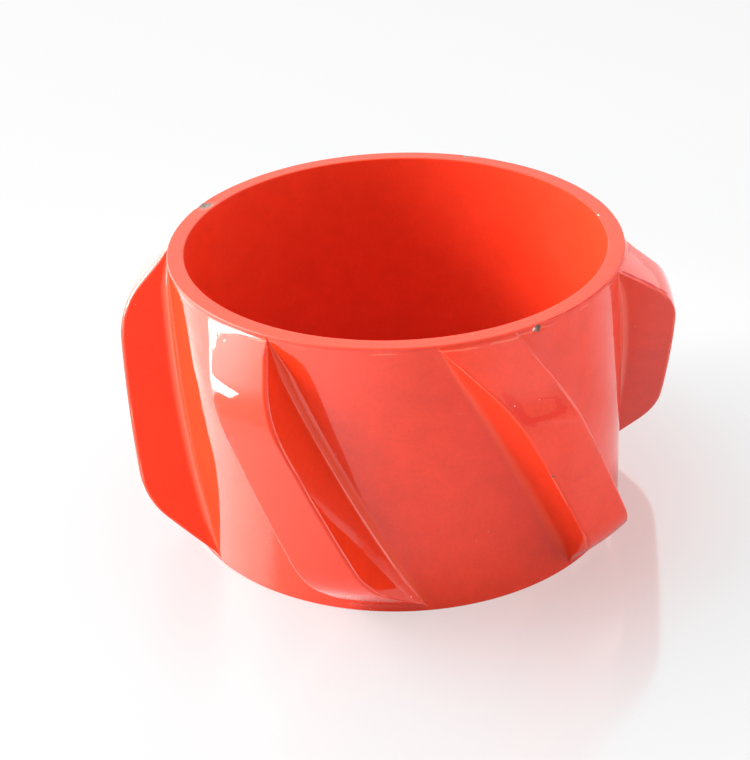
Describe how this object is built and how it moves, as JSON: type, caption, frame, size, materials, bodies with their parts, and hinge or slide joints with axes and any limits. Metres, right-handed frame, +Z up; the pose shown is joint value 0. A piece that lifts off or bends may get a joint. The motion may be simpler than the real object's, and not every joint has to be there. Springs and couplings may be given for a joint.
{
  "type": "rigid spiral-blade drill pipe centralizer",
  "caption": "Round metal sleeve that slips over pipe, with slanted outer blades that have ramped ends and hold the pipe in the middle of the hole.",
  "frame": {"origin": "centre of the bottom end face, on the bore's axis", "axes": "+Z up along the bore's axis; +X through the middle of one blade at mid height"},
  "size_m": [0.1914, 0.1826, 0.0985],
  "materials": {
    "enamel": "glossy red-orange enamel over cast metal"
  },
  "bodies": {
    "root": {"spiral_blade_body": "enamel"}
  },
  "joints": []
}
